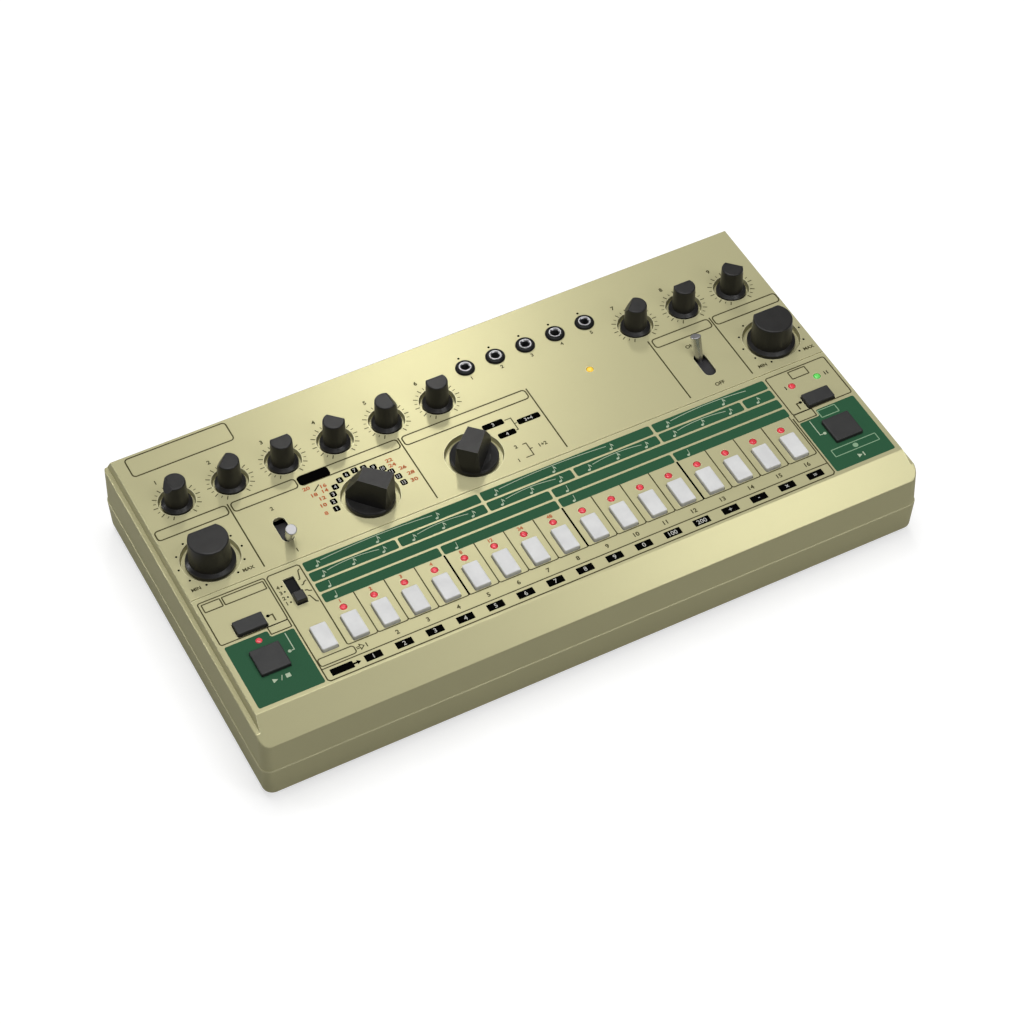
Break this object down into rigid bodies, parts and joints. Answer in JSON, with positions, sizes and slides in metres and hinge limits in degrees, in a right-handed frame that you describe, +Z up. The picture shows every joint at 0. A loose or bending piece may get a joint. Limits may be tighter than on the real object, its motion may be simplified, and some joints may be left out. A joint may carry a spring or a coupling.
{
  "type": "drum machine",
  "caption": "Desktop drum machine: a flat two-part case with dials, selectors, toggles, a slide switch, push buttons, lamps and jacks.",
  "frame": {"origin": "middle of the footprint, on the table plane under the feet", "axes": "+X to the player's right, +Y to the back, +Z up"},
  "size_m": [0.305, 0.165, 0.056],
  "materials": {
    "champagne_paint": "fine metallic champagne paint, satin",
    "knob_black": "satin moulded",
    "button_white": "satin moulded",
    "button_black": "satin moulded",
    "chrome": "polished",
    "board_green": "solder mask over glass-fibre laminate",
    "switch_black": "moulded",
    "ribbon_grey": "vinyl",
    "lamp_red": "clear tinted",
    "lamp_green": "clear tinted",
    "lamp_yellow": "clear tinted",
    "socket_metal": "nickel plated",
    "collar_black": "gloss",
    "screw_steel": "black zinc",
    "rubber": "matt"
  },
  "bodies": {
    "case": {"top_shell": "champagne_paint", "bottom_shell": "champagne_paint", "panel_board": "board_green", "connector_board": "board_green", "potentiometer_bodies": "switch_black", "rotary_switch_bodies": "switch_black", "tact_switches": "switch_black", "toggle_switch_bodies": "switch_black", "slide_switch_body": "switch_black", "power_switch_body": "switch_black", "midi_sockets": "switch_black", "dc_inlet": "switch_black", "ribbon_cable": "ribbon_grey", "red_lamps": "lamp_red", "green_lamp": "lamp_green", "yellow_lamp": "lamp_yellow", "mini_jack_sockets": "socket_metal", "usb_socket": "socket_metal", "output_jack": "socket_metal", "mini_jack_collars": "collar_black", "case_screws": "screw_steel", "rubber_feet": "rubber"},
    "voice_knob_1": {"voice_knob_1": "knob_black"},
    "voice_knob_2": {"voice_knob_2": "knob_black"},
    "voice_knob_3": {"voice_knob_3": "knob_black"},
    "voice_knob_4": {"voice_knob_4": "knob_black"},
    "voice_knob_5": {"voice_knob_5": "knob_black"},
    "voice_knob_6": {"voice_knob_6": "knob_black"},
    "output_knob_1": {"output_knob_1": "knob_black"},
    "output_knob_2": {"output_knob_2": "knob_black"},
    "output_knob_3": {"output_knob_3": "knob_black"},
    "tempo_knob": {"tempo_knob": "knob_black"},
    "volume_knob": {"volume_knob": "knob_black"},
    "instrument_selector_knob": {"instrument_selector_knob": "knob_black"},
    "mode_selector_knob": {"mode_selector_knob": "knob_black"},
    "variant_toggle_lever": {"variant_toggle_lever": "chrome"},
    "drive_toggle_lever": {"drive_toggle_lever": "chrome"},
    "scale_slide_cap": {"scale_slide_cap": "knob_black"},
    "function_button": {"function_button": "button_white"},
    "step_button_01": {"step_button_01": "button_white"},
    "step_button_02": {"step_button_02": "button_white"},
    "step_button_03": {"step_button_03": "button_white"},
    "step_button_04": {"step_button_04": "button_white"},
    "step_button_05": {"step_button_05": "button_white"},
    "step_button_06": {"step_button_06": "button_white"},
    "step_button_07": {"step_button_07": "button_white"},
    "step_button_08": {"step_button_08": "button_white"},
    "step_button_09": {"step_button_09": "button_white"},
    "step_button_10": {"step_button_10": "button_white"},
    "step_button_11": {"step_button_11": "button_white"},
    "step_button_12": {"step_button_12": "button_white"},
    "step_button_13": {"step_button_13": "button_white"},
    "step_button_14": {"step_button_14": "button_white"},
    "step_button_15": {"step_button_15": "button_white"},
    "step_button_16": {"step_button_16": "button_white"},
    "clear_button": {"clear_button": "button_black"},
    "start_stop_button": {"start_stop_button": "button_black"},
    "pattern_group_button": {"pattern_group_button": "button_black"},
    "write_button": {"write_button": "button_black"},
    "power_rocker": {"power_rocker": "knob_black"}
  },
  "joints": [
    {"name": "voice_1_turn", "type": "hinge", "parent": "case", "child": "voice_knob_1", "pos_m": [-0.1326, 0.04455, 0.05], "axis": [0, 0, 1], "range_deg": [-240, 60]},
    {"name": "voice_2_turn", "type": "hinge", "parent": "case", "child": "voice_knob_2", "pos_m": [-0.10845, 0.04455, 0.05], "axis": [0, 0, 1], "range_deg": [-195, 105]},
    {"name": "voice_3_turn", "type": "hinge", "parent": "case", "child": "voice_knob_3", "pos_m": [-0.08431, 0.04455, 0.05], "axis": [0, 0, 1], "range_deg": [-150, 150]},
    {"name": "voice_4_turn", "type": "hinge", "parent": "case", "child": "voice_knob_4", "pos_m": [-0.06016, 0.04455, 0.05], "axis": [0, 0, 1], "range_deg": [-105, 195]},
    {"name": "voice_5_turn", "type": "hinge", "parent": "case", "child": "voice_knob_5", "pos_m": [-0.03602, 0.04455, 0.05], "axis": [0, 0, 1], "range_deg": [-60, 240]},
    {"name": "voice_6_turn", "type": "hinge", "parent": "case", "child": "voice_knob_6", "pos_m": [-0.01187, 0.04455, 0.05], "axis": [0, 0, 1], "range_deg": [-150, 150]},
    {"name": "output_1_turn", "type": "hinge", "parent": "case", "child": "output_knob_1", "pos_m": [0.08471, 0.04455, 0.05], "axis": [0, 0, 1], "range_deg": [-195, 105]},
    {"name": "output_2_turn", "type": "hinge", "parent": "case", "child": "output_knob_2", "pos_m": [0.10885, 0.04455, 0.05], "axis": [0, 0, 1], "range_deg": [-150, 150]},
    {"name": "output_3_turn", "type": "hinge", "parent": "case", "child": "output_knob_3", "pos_m": [0.133, 0.04455, 0.05], "axis": [0, 0, 1], "range_deg": [-105, 195]},
    {"name": "tempo_turn", "type": "hinge", "parent": "case", "child": "tempo_knob", "pos_m": [-0.1326, 0.01, 0.05], "axis": [0, 0, 1], "range_deg": [-150, 150]},
    {"name": "volume_turn", "type": "hinge", "parent": "case", "child": "volume_knob", "pos_m": [0.133, 0.01, 0.05], "axis": [0, 0, 1], "range_deg": [-150, 150]},
    {"name": "instrument_selector_turn", "type": "hinge", "parent": "case", "child": "instrument_selector_knob", "pos_m": [-0.06016, 0.01, 0.05], "axis": [0, 0, 1], "range_deg": [-135, 45]},
    {"name": "mode_selector_turn", "type": "hinge", "parent": "case", "child": "mode_selector_knob", "pos_m": [-0.01187, 0.01, 0.05], "axis": [0, 0, 1], "range_deg": [-90, 0]},
    {"name": "variant_toggle_flip", "type": "hinge", "parent": "case", "child": "variant_toggle_lever", "pos_m": [-0.09975, 0.01, 0.0314], "axis": [1, 0, 0], "range_deg": [-45, 0]},
    {"name": "drive_toggle_flip", "type": "hinge", "parent": "case", "child": "drive_toggle_lever", "pos_m": [0.09975, 0.01, 0.0314], "axis": [1, 0, 0], "range_deg": [0, 45]},
    {"name": "scale_slide", "type": "slide", "parent": "case", "child": "scale_slide_cap", "axis": [0, 1, 0], "range_m": [0, 0.00915]},
    {"name": "function_button_press", "type": "slide", "parent": "case", "child": "function_button", "axis": [0, 0, -1], "range_m": [0, 0.001], "stiffness_N_per_m": 400, "springref_m": -0.0005},
    {"name": "step_button_01_press", "type": "slide", "parent": "case", "child": "step_button_01", "axis": [0, 0, -1], "range_m": [0, 0.001], "stiffness_N_per_m": 400, "springref_m": -0.0005},
    {"name": "step_button_02_press", "type": "slide", "parent": "case", "child": "step_button_02", "axis": [0, 0, -1], "range_m": [0, 0.001], "stiffness_N_per_m": 400, "springref_m": -0.0005},
    {"name": "step_button_03_press", "type": "slide", "parent": "case", "child": "step_button_03", "axis": [0, 0, -1], "range_m": [0, 0.001], "stiffness_N_per_m": 400, "springref_m": -0.0005},
    {"name": "step_button_04_press", "type": "slide", "parent": "case", "child": "step_button_04", "axis": [0, 0, -1], "range_m": [0, 0.001], "stiffness_N_per_m": 400, "springref_m": -0.0005},
    {"name": "step_button_05_press", "type": "slide", "parent": "case", "child": "step_button_05", "axis": [0, 0, -1], "range_m": [0, 0.001], "stiffness_N_per_m": 400, "springref_m": -0.0005},
    {"name": "step_button_06_press", "type": "slide", "parent": "case", "child": "step_button_06", "axis": [0, 0, -1], "range_m": [0, 0.001], "stiffness_N_per_m": 400, "springref_m": -0.0005},
    {"name": "step_button_07_press", "type": "slide", "parent": "case", "child": "step_button_07", "axis": [0, 0, -1], "range_m": [0, 0.001], "stiffness_N_per_m": 400, "springref_m": -0.0005},
    {"name": "step_button_08_press", "type": "slide", "parent": "case", "child": "step_button_08", "axis": [0, 0, -1], "range_m": [0, 0.001], "stiffness_N_per_m": 400, "springref_m": -0.0005},
    {"name": "step_button_09_press", "type": "slide", "parent": "case", "child": "step_button_09", "axis": [0, 0, -1], "range_m": [0, 0.001], "stiffness_N_per_m": 400, "springref_m": -0.0005},
    {"name": "step_button_10_press", "type": "slide", "parent": "case", "child": "step_button_10", "axis": [0, 0, -1], "range_m": [0, 0.001], "stiffness_N_per_m": 400, "springref_m": -0.0005},
    {"name": "step_button_11_press", "type": "slide", "parent": "case", "child": "step_button_11", "axis": [0, 0, -1], "range_m": [0, 0.001], "stiffness_N_per_m": 400, "springref_m": -0.0005},
    {"name": "step_button_12_press", "type": "slide", "parent": "case", "child": "step_button_12", "axis": [0, 0, -1], "range_m": [0, 0.001], "stiffness_N_per_m": 400, "springref_m": -0.0005},
    {"name": "step_button_13_press", "type": "slide", "parent": "case", "child": "step_button_13", "axis": [0, 0, -1], "range_m": [0, 0.001], "stiffness_N_per_m": 400, "springref_m": -0.0005},
    {"name": "step_button_14_press", "type": "slide", "parent": "case", "child": "step_button_14", "axis": [0, 0, -1], "range_m": [0, 0.001], "stiffness_N_per_m": 400, "springref_m": -0.0005},
    {"name": "step_button_15_press", "type": "slide", "parent": "case", "child": "step_button_15", "axis": [0, 0, -1], "range_m": [0, 0.001], "stiffness_N_per_m": 400, "springref_m": -0.0005},
    {"name": "step_button_16_press", "type": "slide", "parent": "case", "child": "step_button_16", "axis": [0, 0, -1], "range_m": [0, 0.001], "stiffness_N_per_m": 400, "springref_m": -0.0005},
    {"name": "clear_button_press", "type": "slide", "parent": "case", "child": "clear_button", "axis": [0, 0, -1], "range_m": [0, 0.001], "stiffness_N_per_m": 400, "springref_m": -0.0005},
    {"name": "start_stop_button_press", "type": "slide", "parent": "case", "child": "start_stop_button", "axis": [0, 0, -1], "range_m": [0, 0.001], "stiffness_N_per_m": 400, "springref_m": -0.0005},
    {"name": "pattern_group_button_press", "type": "slide", "parent": "case", "child": "pattern_group_button", "axis": [0, 0, -1], "range_m": [0, 0.001], "stiffness_N_per_m": 400, "springref_m": -0.0005},
    {"name": "write_button_press", "type": "slide", "parent": "case", "child": "write_button", "axis": [0, 0, -1], "range_m": [0, 0.001], "stiffness_N_per_m": 400, "springref_m": -0.0005},
    {"name": "power_rocker_tilt", "type": "hinge", "parent": "case", "child": "power_rocker", "pos_m": [0.096, 0.0794, 0.0192], "axis": [0, 0, 1], "range_deg": [0, 16]}
  ]
}
